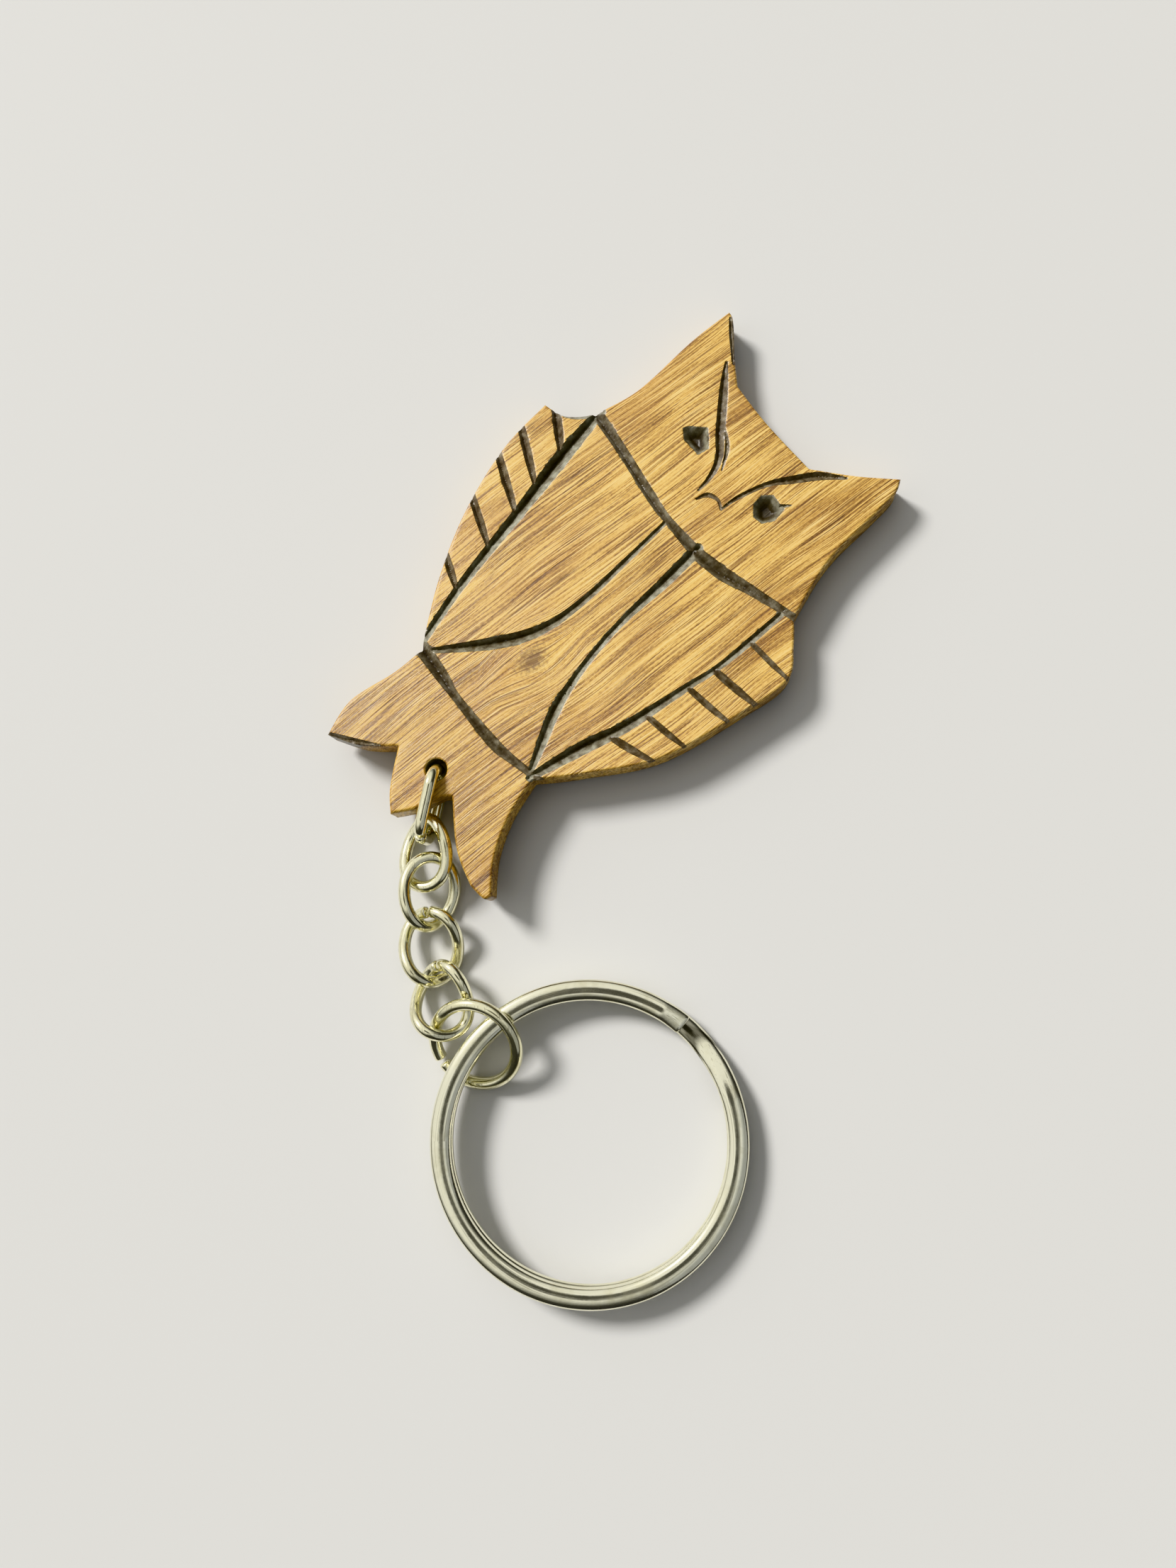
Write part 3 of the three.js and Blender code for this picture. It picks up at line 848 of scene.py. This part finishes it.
def keep_inner(loop, points):
    """The points that are on wood, and not right at an edge."""
    off_edge = distance_to_loop(loop, points) > EDGE_CLEARANCE
    off_hole = np.hypot(*(points - HOLE_AT).T) > HOLE_DIAMETER / 2 + EDGE_CLEARANCE
    return off_edge & off_hole & inside_loop(loop, points)


def edge_drop(loop, points, radius):
    """How far the rounded edges of the outline and of the hole drop at each point."""
    outer = round_over(distance_to_loop(loop, points), radius)
    bore = np.hypot(*(points - HOLE_AT).T) - HOLE_DIAMETER / 2
    return np.maximum(outer, round_over(np.maximum(bore, 0), HOLE_EDGE_ROUND))


def outward(ring, amount):
    along = np.roll(ring, -1, 0) - np.roll(ring, 1, 0)
    out = np.stack([-along[:, 1], along[:, 0]], 1) / np.hypot(*along.T)[:, None]
    return ring + out * amount[:, None]


def edge_stain(ring, share):
    """Stain has run a little way down the edge at the left shoulder, ear and tail tip."""
    reach = [1 - np.hypot(*(ring - at).T) / size for at, size in EDGE_STAINS]
    return np.clip(np.max(reach, 0) * EDGE_STAIN_GAIN - share * EDGE_STAIN_FADE, 0, 1) * EDGE_STAIN


# ---------- wire pieces ----------

def sweep(path, section):
    """A closed tube along an open path. section(i, at, out, up) gives the ring of points at step i."""
    path = np.array(path)
    along = np.gradient(path, axis=0)
    along /= np.linalg.norm(along, axis=1)[:, None]
    out = np.cross(along, (0, 0, 1.0))
    out /= np.linalg.norm(out, axis=1)[:, None]
    up = np.cross(out, along)
    rings = [section(i, path[i], out[i], up[i]) for i in range(len(path))]
    sides = len(rings[0])
    vertices = np.vstack([*rings, path[:1], path[-1:]])
    faces = []
    for r in range(len(rings) - 1):
        for i in range(sides):
            j = (i + 1) % sides
            faces.append((r * sides + i, (r + 1) * sides + i, (r + 1) * sides + j, r * sides + j))
    start, end = len(vertices) - 2, len(vertices) - 1
    tail = (len(rings) - 1) * sides
    for i in range(sides):
        j = (i + 1) % sides
        faces.append((start, i, j))
        faces.append((end, tail + j, tail + i))
    return vertices, faces


def bevelled_ends(steps, long, bevel):
    """Shares of the way along, closer over the bevel at each end, and how full the wire is at each."""
    near = np.array([0, 0.12, 0.3, 0.6, 1.0]) * bevel / long
    shares = np.concatenate([near, np.linspace(near[-1], 1 - near[-1], steps)[1:-1], 1 - near[::-1]])
    from_end = np.minimum(shares, 1 - shares) * long
    short = np.clip(1 - from_end / bevel, 0, 1)
    return shares, 1 - BEVEL_LOSS * short ** 2


def round_wire(curve, diameter, seed, steps=190, sides=28):
    """Round wire along curve(share), slightly uneven as bent wire is, with the cut ends bevelled."""
    long = curve_length(curve)
    shares, full = bevelled_ends(steps, long, WIRE_BEVEL)
    angles = np.arange(sides) / sides * 2 * math.pi

    def section(i, at, out, up):
        travelled = shares[i] * long / WIRE_WAVE
        uneven = [noise.noise(Vector((travelled, math.sin(a), math.cos(a) + seed))) for a in angles]
        radius = diameter / 2 * full[i] * (1 - WIRE_UNEVEN + WIRE_UNEVEN * np.array(uneven))
        return at + radius[:, None] * (np.cos(angles)[:, None] * out + np.sin(angles)[:, None] * up)

    return sweep([curve(s) for s in shares], section)


def curve_length(curve):
    points = np.array([curve(s) for s in np.linspace(0, 1, 200)])
    return np.linalg.norm(np.diff(points, axis=0), axis=1).sum()


def cut_loop(loop, cut_at, gap, height=lambda x, y: 0.0):
    """An open curve once round a closed flat loop of points, cut open at one place."""
    closed = np.vstack([loop, loop[:1]])
    travelled = np.concatenate([[0], np.cumsum(np.hypot(*np.diff(closed, axis=0).T))])
    total = travelled[-1]

    def curve(share):
        s = (cut_at * total + gap / 2 + share * (total - gap)) % total
        x, y = np.interp(s, travelled, closed[:, 0]), np.interp(s, travelled, closed[:, 1])
        return np.array([x, y, height(x, y)])

    return curve


def ellipse(half_width, half_length):
    angles = np.arange(720) / 720 * 2 * math.pi
    return np.stack([half_width * np.cos(angles), half_length * np.sin(angles)], 1)


def curb_link(twist, cut, seed):
    """An oval, longest along Y, whose opposite quarters are bent up and down."""
    half_width, half_length = (LINK_WIDTH - LINK_WIRE) / 2, (LINK_LENGTH - LINK_WIRE) / 2

    def height(x, y):
        return 2 * twist * x * y / (half_width * half_length)

    return round_wire(cut_loop(ellipse(half_width, half_length), cut, LINK_CUT, height), LINK_WIRE, seed)


def first_link():
    """An oblong from x = 0 outwards, with rounded corners, later stood on its edge."""
    half, corner = FIRST_LINK_HEIGHT / 2, FIRST_LINK_CORNER
    far = FIRST_LINK_REACH - corner
    centres = [
        (far, -half + corner, -90),
        (far, half - corner, 0),
        (corner, half - corner, 90),
        (corner, -half + corner, 180),
    ]
    loop = [(corner, -half)]
    for x, y, start in centres:
        turns = np.radians(start + np.linspace(0, 90, 60))
        loop.extend(zip(x + corner * np.cos(turns), y + corner * np.sin(turns)))
    return round_wire(cut_loop(np.array(loop), FIRST_LINK_CUT_AT, LINK_CUT), LINK_WIRE, 11.0)


def jump_ring():
    radius = (JUMP_DIAMETER - JUMP_WIRE) / 2
    return round_wire(cut_loop(ellipse(radius, radius), JUMP_CUT_AT, JUMP_CUT), JUMP_WIRE, 17.0, steps=230)


def smoothstep(value, low, high):
    t = min(max((value - low) / (high - low), 0), 1)
    return t * t * (3 - 2 * t)


def split_ring():
    """Two coils of flattened wire. The upper end is ground to a wedge, and the lower end is cut square."""
    step = math.radians(RING_STEP_DEGREES)
    whole = 4 * math.pi - step
    radius = (RING_DIAMETER - RING_BAND) / 2
    pitch = RING_WIRE_HEIGHT + RING_COIL_GAP

    def curve(share):
        turned = share * whole
        angle = math.radians(RING_START_AT) - turned
        climbed = smoothstep(turned, 2 * math.pi - step, 2 * math.pi)
        return np.array([radius * math.cos(angle), radius * math.sin(angle), pitch * (climbed - 0.5)])

    long = whole * radius
    shares, full = bevelled_ends(760, long, RING_BEVEL)
    profile = crowned_profile(RING_BAND / 2, RING_WIRE_HEIGHT / 2)

    def section(i, at, out, up):
        to_end = (1 - shares[i]) * long
        wedge = 1 - RING_TAPER_LOSS * max(0, 1 - to_end / RING_TAPER)
        shape = profile * full[i]
        uneven = RING_UNEVEN * noise.noise(Vector((shares[i] * long / RING_WAVE, 4.4, 0)))
        height = np.where(shape[:, 1] > 0, shape[:, 1] * wedge, shape[:, 1])
        return at + (shape[:, :1] + uneven) * out + height[:, None] * up

    return sweep([curve(s) for s in shares], section)


def crowned_profile(half_width, half_height, sides=40):
    """The flattened wire's section, between an oval and a rounded rectangle, as (out, up)."""
    angles = np.arange(sides) / sides * 2 * math.pi
    across, upward = np.cos(angles), np.sin(angles)
    power = 2 / RING_FULLNESS
    return np.stack([
        half_width * np.sign(across) * np.abs(across) ** power,
        half_height * np.sign(upward) * np.abs(upward) ** power,
    ], 1)


# ---------- assembly ----------

# Edges that bend by more than this many degrees look sharp.
WOOD_SHARP = 38
WIRE_SHARP = 50


def hole_in_row():
    """Where the axis of the hole in the tail meets the floor: the first link swivels about it."""
    joint = next(j for j in frame["joints"] if j["name"] == "link_1_swivel")
    return Vector(joint["pos_m"]) - Vector((0, 0, LINK_1_PIVOT_HEIGHT * MM))


def turned(turn, roll, pitch):
    """A piece's angles about X, Y and Z."""
    return [math.radians(angle) for angle in (pitch, roll, turn)]


def lay(name, vertices, faces, finish, slot, at, turn=0.0, roll=0.0, pitch=0.0):
    """Makes the piece that stands for the CAD node of that name, and lays it in the row frame."""
    mesh = bpy.data.meshes.new(name + "_fine")
    mesh.from_pydata(vertices * MM, [], faces)
    mesh.validate()
    lies = Euler(turned(turn, roll, pitch), "XYZ").to_matrix().to_4x4()
    mesh.transform(Matrix.Translation(hole_in_row() + Vector(at) * MM) @ lies)
    mesh.materials.append(finish)
    mesh.shade_smooth()
    piece = bpy.data.objects.new(name + "_fine", mesh)
    bpy.context.scene.collection.objects.link(piece)
    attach(piece, name)
    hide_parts(name)
    return piece


def make_owl():
    vertices, faces, marks = owl_mesh()
    owl = lay("owl_charm", vertices, faces, wood_finish(), "carved_wood", **OWL_LIES)
    for name, values in marks.items():
        attribute = owl.data.attributes.new(name, "FLOAT", "POINT")
        attribute.data.foreach_set("value", values.astype(np.float32))
    owl.data.set_sharp_from_angle(angle=math.radians(WOOD_SHARP))


def make_chain():
    nickel = nickel_finish("chain_nickel", (0.93, 0.90, 0.66), (0.72, 0.68, 0.45))
    heading = math.radians(FIRST_LINK_HEADING)
    back = -FIRST_LINK_SET_BACK
    middle = (FIRST_LINK_HEIGHT + LINK_WIRE) / 2
    on_edge = {"at": (back * math.cos(heading), back * math.sin(heading), middle), "pitch": 90}
    wires = [("chain_link_1", first_link(), {**on_edge, "turn": FIRST_LINK_HEADING})]
    for number, (name, lies) in enumerate(CURB_LINKS):
        link = curb_link(LINK_TWISTS[number], LINK_CUTS_AT[number], 2.0 * number)
        wires.append((name, link, lies))
    wires.append(("jump_ring", jump_ring(), JUMP_RING_LIES))
    for name, (vertices, faces), lies in wires:
        wire = lay(name, vertices, faces, nickel, "chain_nickel", **lies)
        wire.data.set_sharp_from_angle(angle=math.radians(WIRE_SHARP))


def make_split_ring():
    nickel = nickel_finish("ring_nickel", (0.94, 0.92, 0.74), (0.74, 0.71, 0.51), SPLIT_RING_LIES)
    vertices, faces = split_ring()
    ring = lay("split_ring", vertices, faces, nickel, "ring_nickel", **SPLIT_RING_LIES)
    ring.data.set_sharp_from_angle(angle=math.radians(WIRE_SHARP))


bpy.context.scene.view_settings.view_transform = "Khronos PBR Neutral"
make_camera()
make_floor()
make_lights()
make_world()
make_owl()
make_chain()
make_split_ring()
